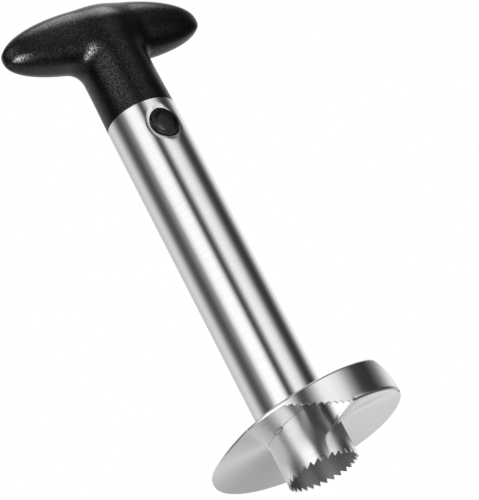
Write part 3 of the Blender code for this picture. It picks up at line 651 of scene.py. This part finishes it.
def wall_heights(angle):
    """Heights of the wall's free or joined edges at an angle, without teeth: (bottom, top)."""
    half = SHEET / 2
    upper = underside(np.minimum(angle, TRAIL_ANGLE), BLADE_RADIUS) + half
    lower = underside(angle - FULL_TURN, BLADE_RADIUS) + half
    past = np.clip((angle - TRAIL_ANGLE) / (WALL_END - TRAIL_ANGLE), 0.0, 1.0)
    top = np.where(angle > TRAIL_ANGLE, lower + (upper - lower) * (1.0 - past ** 1.5), upper)
    start_height = underside(WALL_TOOTH_START, BLADE_RADIUS) - WALL_TOOTH_DROP
    end_height = underside(LEAD_ANGLE, BLADE_RADIUS)
    left = np.clip((LIP_ANGLE - angle) / (LIP_ANGLE - WALL_TOOTH_START), 0.0, 1.0)
    serrated = end_height + (start_height - end_height) * left ** 1.5
    grown = (angle - WALL_START) / (WALL_TOOTH_START - WALL_START)
    hanging = upper - half * (1.0 - grown) - (half + WALL_TOOTH_DROP) * grown
    bottom = np.where(angle < WALL_TOOTH_START, hanging, np.where(angle < LIP_ANGLE, serrated, lower - half))
    return bottom, top + half * (angle <= TRAIL_ANGLE)


def wall_teeth(angle):
    """The sawtooth wave: half up at each gullet, half down at each tip, straight between them."""
    turns = (angle - WALL_TOOTH_START) / (LIP_ANGLE - WALL_TOOTH_START) * WALL_TOOTH_COUNT
    share = turns % 1.0
    steep = WALL_TOOTH_STEEP_SHARE
    wave = np.where(share < steep, 0.5 - share / steep, (share - steep) / (1.0 - steep) - 0.5)
    cut = (turns > 0.0) & (turns < WALL_TOOTH_COUNT - 0.001)
    return np.where(cut, WALL_TOOTH_DEPTH * wave, 0.0)


def make_wall():
    teeth = (np.arange(WALL_TOOTH_COUNT)[:, None] + np.array([0.0, 0.15, 0.3, 0.5, 0.75])).reshape(-1)
    toothed = WALL_TOOTH_START + (LIP_ANGLE - WALL_TOOTH_START) * teeth / WALL_TOOTH_COUNT
    angles = np.concatenate([np.linspace(WALL_START, WALL_TOOTH_START, 14)[:-1], toothed,
                             np.linspace(LIP_ANGLE, WALL_END, 40)])
    bottom, top = wall_heights(angles)
    bottom = bottom + wall_teeth(angles)
    tall = np.maximum(top - bottom, 0.12 * MM)
    bend_top = np.minimum(BEND_RADIUS * (1.0 - smooth_step((angles - TRAIL_ANGLE) / math.radians(3.0))), 0.45 * tall)
    bend_bottom = np.minimum(BEND_RADIUS * (angles >= LIP_ANGLE - 1e-6), 0.45 * tall)
    bend_top, bend_bottom = np.maximum(bend_top, 0.02 * MM), np.maximum(bend_bottom, 0.02 * MM)
    turn = np.linspace(0.0, math.pi / 2, 7)[:, None]
    upper_radius = BLADE_RADIUS - bend_top * (1.0 - np.sin(turn))
    upper_height = top - bend_top * (1.0 - np.cos(turn))
    share = np.linspace(0.0, 1.0, 9)[1:-1, None]
    straight_height = (top - bend_top) + (bottom + bend_bottom - top + bend_top) * share
    lower_radius = BLADE_RADIUS - bend_bottom * (1.0 - np.sin(turn[::-1]))
    lower_height = bottom + bend_bottom * (1.0 - np.cos(turn[::-1]))
    radius = np.vstack([upper_radius, np.full_like(straight_height, BLADE_RADIUS), lower_radius])
    height = np.vstack([upper_height, straight_height, lower_height])
    points = polar(radius, angles[None, :], height)
    wall = mesh_object("blade_wall", points[::-1], grid_quads(*points.shape[:2]))
    thicken(wall, SHEET, 0.08 * MM)
    return finish_piece(wall, wall_finish, "cutter")


wall = make_wall()

# %% [markdown]
# Five short weld tacks hold the disc to the tube from below. A tack is a row of melted blobs, so each one is a
# half-round bead whose thickness ripples along its length and fades at both ends.

# %% Weld tacks
WELD_ANGLES = {"weld_rear_right": 27.7, "weld_rear": 112.7, "weld_left": 202.7, "weld_upper_lip": 279.7,
               "weld_lower_lip": -60.3}
WELD_RADIUS = 0.75 * MM
WELD_LENGTH = 4.4 * MM


def make_weld(node, degrees):
    """A bead round an arc in the corner: radius = thick x sqrt(1 - along^2) x (1 + ripple)."""
    along = np.sin(np.linspace(-math.pi / 2, math.pi / 2, 41))
    angle = math.radians(degrees) + along * WELD_LENGTH / 2 / HUB_RADIUS
    around = np.linspace(0.0, FULL_TURN, 25)[:, None]
    ripple = 0.16 * np.cos(9.0 * along + degrees) + 0.06 * np.cos(4.0 * around + 13.0 * along + degrees)
    thick = WELD_RADIUS * np.sqrt(np.maximum(1.0 - along ** 2, 0.0)) * (1.0 + ripple)
    radius = HUB_RADIUS + 0.45 * MM + thick * np.cos(around)
    height = underside(angle, HUB_RADIUS) - 0.35 * MM + thick * np.sin(around)
    points = polar(radius, angle[None, :], height)
    bead = mesh_object(f"{node}_bead", points, grid_quads(*points.shape[:2]))
    return finish_piece(bead, weld_finish, "cutter", 50.0, [node])


for node, degrees in WELD_ANGLES.items():
    make_weld(node, degrees)

# %% [markdown]
# The T-handle is one moulding: a fat rounded bar that droops a little at its ends, melting into a round stem. Such
# a form could be sculpted from a cage, but it is written here as a field that is below zero inside the handle. Rays
# fan out from the bar's centre, and each is followed to where the field changes sign, which gives a clean grid.

# %% Handle grip
GRIP_LENGTH, GRIP_WIDTH, GRIP_HEIGHT = 99.6 * MM, 25.4 * MM, 26.76 * MM
GRIP_BOTTOM = TUBE_LENGTH + 0.3 * MM
GRIP_FOOT = TUBE_LENGTH + 0.03 * MM
GRIP_CENTRE = GRIP_BOTTOM + 44.1 * MM
GRIP_DROOP = 1.8 * MM
GRIP_ROUNDING, GRIP_LENGTH_ROUNDING = 2.8, 2.15
GRIP_FILLET = 5.8 * MM
STEM_WAIST_RADIUS, STEM_WAIST_RISE = 15.7 * MM, 18.5 * MM
STEM_DOME_HEIGHT = 12.0 * MM
SOCKET_RADIUS, SOCKET_DEPTH = 10.0 * MM, 12.0 * MM
GRIP_EDGE = 0.12 * MM
SEAM_DEPTH, SEAM_HEIGHT = 0.5 * MM, 0.28 * MM


def grip_field(points):
    """The smaller of two distances, with a soft fillet pushed out where they are alike.

    One is to a stretched ball with drooping ends, the other to a post that narrows slightly on its way up and ends
    in a dome.
    """
    x, y, z = points[..., 0], points[..., 1], points[..., 2]
    along = np.abs(x) / (GRIP_LENGTH / 2)
    rise = z - GRIP_CENTRE + GRIP_DROOP * along ** 2
    power, length_power = GRIP_ROUNDING, GRIP_LENGTH_ROUNDING
    around = (np.abs(y) / (GRIP_WIDTH / 2)) ** power + (np.abs(rise) / (GRIP_HEIGHT / 2)) ** power
    bar = ((along ** length_power + around ** (length_power / power)) ** (1.0 / length_power) - 1.0) * GRIP_HEIGHT / 2
    risen = smooth_step((z - GRIP_BOTTOM) / STEM_WAIST_RISE)
    stem_radius = TUBE_RADIUS + (STEM_WAIST_RADIUS - TUBE_RADIUS) * risen
    dome = np.maximum(z - GRIP_CENTRE, 0.0) / STEM_DOME_HEIGHT
    stem = (np.hypot(np.hypot(x, y) / stem_radius, dome) - 1.0) * stem_radius
    mix = np.clip(0.5 + 0.5 * (stem - bar) / GRIP_FILLET, 0.0, 1.0)
    return stem + (bar - stem) * mix - GRIP_FILLET * mix * (1.0 - mix)


def grip_surface(directions):
    """Halves the way along each ray forty times to find where the field changes sign."""
    near = np.zeros(directions.shape[:-1])
    far = np.full(directions.shape[:-1], GRIP_LENGTH)
    centre = np.array([0.0, 0.0, GRIP_CENTRE])
    for _ in range(40):
        middle = (near + far) / 2
        inside = grip_field(centre + directions * middle[..., None]) < 0.0
        near = np.where(inside, middle, near)
        far = np.where(inside, far, middle)
    return centre + directions * near[..., None]


def make_grip():
    edge_tilt = math.atan2(TUBE_RADIUS, GRIP_CENTRE - GRIP_BOTTOM)
    tilt = np.linspace(edge_tilt, math.pi, 150)[:, None]
    tilt = tilt + 0.2 * np.sin(2.0 * tilt)
    turn = np.linspace(0.0, FULL_TURN, 241)
    turn = (turn - 0.35 * np.sin(2.0 * turn))[None, :]
    directions = np.stack(np.broadcast_arrays(np.sin(tilt) * np.cos(turn), np.sin(tilt) * np.sin(turn),
                                              -np.cos(tilt)), axis=-1)
    outer = grip_surface(directions)
    above_foot = outer[outer[:, 0, 2] > GRIP_FOOT + SEAM_HEIGHT + GRIP_EDGE]
    # From inside out: the socket's end and wall, the flat foot, the seam's groove and a small round up to the side.
    arc = np.linspace(math.pi / 2, 0.0, 5)
    neck = TUBE_RADIUS - SEAM_DEPTH
    section = [(0.0, SOCKET_DEPTH), (SOCKET_RADIUS, SOCKET_DEPTH), (SOCKET_RADIUS, 0.0), (neck, 0.0), (neck, SEAM_HEIGHT)]
    section += list(zip(TUBE_RADIUS - GRIP_EDGE * (1.0 - np.cos(arc)), SEAM_HEIGHT + GRIP_EDGE * (1.0 - np.sin(arc))))
    rings = np.array([polar(radius, turn[0], GRIP_FOOT + height) for radius, height in section])
    points = np.concatenate([rings, above_foot])
    grip = mesh_object("grip", points, grid_quads(*points.shape[:2]))
    return finish_piece(grip, grip_finish, "handle", 50.0, ["handle_grip"])


grip = make_grip()

# %% [markdown]
# The release buttons are small turned forms: a skirt, a rounded shoulder and, one soft step up, a crowned face. A
# turned form is a half-section carried round an axis, here the Y axis through the hole.

# %% Buttons
BUTTON_RADIUS = 6.5 * MM
BUTTON_FLANGE_RADIUS = 7.2 * MM
BUTTON_FLANGE = 1.6 * MM
BUTTON_INNER = 9.9 * MM
BUTTON_SHOULDER = 16.0 * MM
BUTTON_TOP = 16.7 * MM
BUTTON_EDGE = 0.7 * MM
BUTTON_CROWN = BUTTON_TOP - BUTTON_SHOULDER
BUTTON_ROOF = 2.4 * MM
BUTTON_WALL = 1.4 * MM
STEP_SHARE, STEP_WIDTH_SHARE, STEP_HEIGHT = 0.60, 0.30, 0.24 * MM


def turned(name, profile, side, steps=96):
    """Carries (radius, distance from the tube's axis) pairs round the button's axis on an upright oval."""
    radius, out = np.array(profile).T
    turn = np.linspace(0.0, FULL_TURN, steps + 1)
    points = np.stack(np.broadcast_arrays(radius[:, None] * np.cos(turn), side * out[:, None],
                                          HOLE_HEIGHT + HOLE_STRETCH * radius[:, None] * np.sin(turn)), axis=-1)
    points = points if side > 0 else points[:, ::-1]
    return mesh_object(name, points, grid_quads(*points.shape[:2]))


def button_face(radius):
    """The crowned face: a flat parabola with one soft step down to the shoulder."""
    share = radius / (BUTTON_RADIUS - BUTTON_EDGE)
    step = STEP_HEIGHT * smooth_step((share - STEP_SHARE) / STEP_WIDTH_SHARE)
    return BUTTON_TOP - (BUTTON_CROWN - STEP_HEIGHT) * share ** 2 - step


def button_section():
    face_radius = np.linspace(0.0, BUTTON_RADIUS - BUTTON_EDGE, 34)
    face = np.stack([face_radius, button_face(face_radius)], axis=1)
    arc = np.linspace(math.pi / 2, 0.0, 9)[1:]
    shoulder = np.stack([BUTTON_RADIUS - BUTTON_EDGE + BUTTON_EDGE * np.cos(arc),
                         BUTTON_SHOULDER - BUTTON_EDGE + BUTTON_EDGE * np.sin(arc)], axis=1)
    pocket = BUTTON_RADIUS - BUTTON_WALL
    rest = [(BUTTON_RADIUS, BUTTON_INNER + BUTTON_FLANGE), (BUTTON_FLANGE_RADIUS, BUTTON_INNER + BUTTON_FLANGE),
            (BUTTON_FLANGE_RADIUS, BUTTON_INNER), (pocket, BUTTON_INNER), (pocket, BUTTON_TOP - BUTTON_ROOF),
            (0.0, BUTTON_TOP - BUTTON_ROOF)]
    return np.concatenate([face, shoulder, rest])


buttons = []
for side, where in ((-1, "front"), (1, "rear")):
    button = turned(f"{where}_thumb_button", button_section(), side)
    finish_piece(button, button_finish, f"{where}_button", 35.0, [f"{where}_button"])
    buttons.append(button)

# %% [markdown]
# The springs behind the buttons are coils of round wire. A coil is a circle carried along a helix, here of even
# pitch from end to end, though real springs close their last turns. A pressed button shortens its spring; each spring
# here gets a mesh of its own.

# %% Springs
SPRING_RADIUS = 3.8 * MM
WIRE_RADIUS = 0.3 * MM
SPRING_TURNS = 6.0
SPRING_FOOT = 3.8 * MM
SPRING_HEAD = 14.0 * MM


def make_spring(where, side):
    """Wire points = helix + wire radius x (outward x cos + along x sin)."""
    turn = np.linspace(0.0, FULL_TURN * SPRING_TURNS, 24 * int(SPRING_TURNS) + 1)
    share = turn / turn[-1]
    out = SPRING_FOOT + WIRE_RADIUS + (SPRING_HEAD - SPRING_FOOT - 2.0 * WIRE_RADIUS) * share
    around = np.linspace(0.0, FULL_TURN, 13)[:, None]
    radius = SPRING_RADIUS + WIRE_RADIUS * np.cos(around)
    along = out + WIRE_RADIUS * np.sin(around)
    points = np.stack([radius * np.cos(turn), side * along, HOLE_HEIGHT + radius * np.sin(turn)], axis=-1)
    # Each end of the wire is closed by a last ring drawn in to its centre.
    ends = [np.repeat(points[:-1, column].mean(0)[None], len(points), 0)[:, None] for column in (0, -1)]
    points = np.concatenate([ends[0], points, ends[1]], axis=1)
    points = points[::-1] if side > 0 else points
    spring = mesh_object(f"{where}_coil_spring", points, grid_quads(*points.shape[:2]))
    node = f"{where}_button_spring"
    finish_piece(spring, wire_finish, "handle", 60.0, [node])
    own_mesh(spring)


for side, where in ((-1, "front"), (1, "rear")):
    make_spring(where, side)

# %% [markdown]
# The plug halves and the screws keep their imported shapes. Only their finish is new.

# %% Plug and screws
for node in ("plug_left", "plug_right"):
    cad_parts[node].data.materials.clear()
    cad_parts[node].data.materials.append(plug_finish)
for node in ("handle_screw", "plug_screw_front", "plug_screw_rear"):
    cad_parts[node].data.materials.clear()
    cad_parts[node].data.materials.append(screw_finish)
print("plug halves and screws dressed")

# %% [markdown]
# Steel and black plastic can't share one light: what shapes the handle would burn out the steel. Photographers light
# the two separately and join the exposures. Here the grip gets strip lamps of its own, by light linking: one overhead
# along the bar, a strong one low at the left for the fillet and the tip, and a faint one in front.

# %% Handle lamps
LAMP_DISTANCE = 1.0
HANDLE_LAMPS = {
    "overhead_strip": ((-82, 54), (-13, 52), 0.50, 7.5),
    "low_left_strip": ((-115, -8), (-166, -50), 0.32, 38.0),
    "front_strip": ((-176, 26), (-110, 26), 0.36, 2.0),
}
BUTTON_LAMPS = {"button_strip": ((-100, -25), (-84, 12), 0.24, 5.0)}


def sky_direction(compass, height):
    """The direction at an angle round from +X towards +Y and an angle above the horizon, both in degrees."""
    around, up = math.radians(compass), math.radians(height)
    return Vector((math.cos(up) * math.cos(around), math.cos(up) * math.sin(around), math.sin(up)))


def add_strip_lamp(name, first, last, breadth, brightness, receivers):
    """A flat lamp that spans two directions as the handle sees them and faces it; power = brightness x pi x area."""
    ends = [LAMP_DISTANCE * sky_direction(*end) for end in (first, last)]
    centre = (ends[0] + ends[1]) / 2
    along = (ends[0] - ends[1]).normalized()
    back = centre.normalized()
    data = bpy.data.lights.new(name, "AREA")
    data.shape = "RECTANGLE"
    data.size, data.size_y = (ends[0] - ends[1]).length, breadth
    data.energy = brightness * math.pi * data.size * data.size_y
    lamp = bpy.data.objects.new(name, data)
    axes = Matrix((along, back.cross(along), back)).transposed().to_4x4()
    lamp.matrix_world = Matrix.Translation(centre + Vector((0, 0, GRIP_CENTRE))) @ axes
    lamp.visible_camera = False
    bpy.context.scene.collection.objects.link(lamp)
    lamp.light_linking.receiver_collection = receivers
    return lamp


for lamps, pieces in ((HANDLE_LAMPS, [grip]), (BUTTON_LAMPS, buttons)):
    receivers = bpy.data.collections.new("lit_" + "_".join(lamps))
    for piece in pieces:
        receivers.objects.link(piece)
    for name, (first, last, breadth, brightness) in lamps.items():
        add_strip_lamp(name, first, last, breadth, brightness, receivers)
print(len(HANDLE_LAMPS) + len(BUTTON_LAMPS), "strip lamps for the black plastic")

# %% [markdown]
# The tool stands on a pale table. The photographer's camera looks up from below the level of the teeth, so the
# table is one-sided: it is there for every view from above and lets the low camera look through it. Only cameras see
# it, so it doesn't shade the steel.

# %% Table
TABLE_SIZE = 3.0
TABLE_GLOW = 0.45


def make_table():
    corners = TABLE_SIZE / 2 * np.array([(-1, -1, 0), (1, -1, 0), (-1, 1, 0), (1, 1, 0)], float)
    table = mesh_object("table", corners - np.array([0, 0, 0.02 * MM]), np.array([[0, 1, 3, 2]]))
    material, tree, shader = new_material("pale_table")
    shader.inputs["Base Color"].default_value = (0.9, 0.9, 0.9, 1.0)
    shader.inputs["Roughness"].default_value = 0.8
    shader.inputs["Emission Color"].default_value = (1.0, 1.0, 1.0, 1.0)
    shader.inputs["Emission Strength"].default_value = TABLE_GLOW
    through = add_node(tree, "ShaderNodeBsdfTransparent")
    chosen = add_node(tree, "ShaderNodeMixShader")
    link(tree, add_node(tree, "ShaderNodeNewGeometry").outputs["Backfacing"], chosen.inputs[0])
    link(tree, shader.outputs[0], chosen.inputs[1])
    link(tree, through.outputs[0], chosen.inputs[2])
    link(tree, chosen.outputs[0], tree.nodes["Material Output"].inputs["Surface"])
    table.data.materials.append(material)
    for kind in ("visible_diffuse", "visible_glossy", "visible_transmission", "visible_shadow"):
        setattr(table, kind, False)
    return table


make_table()
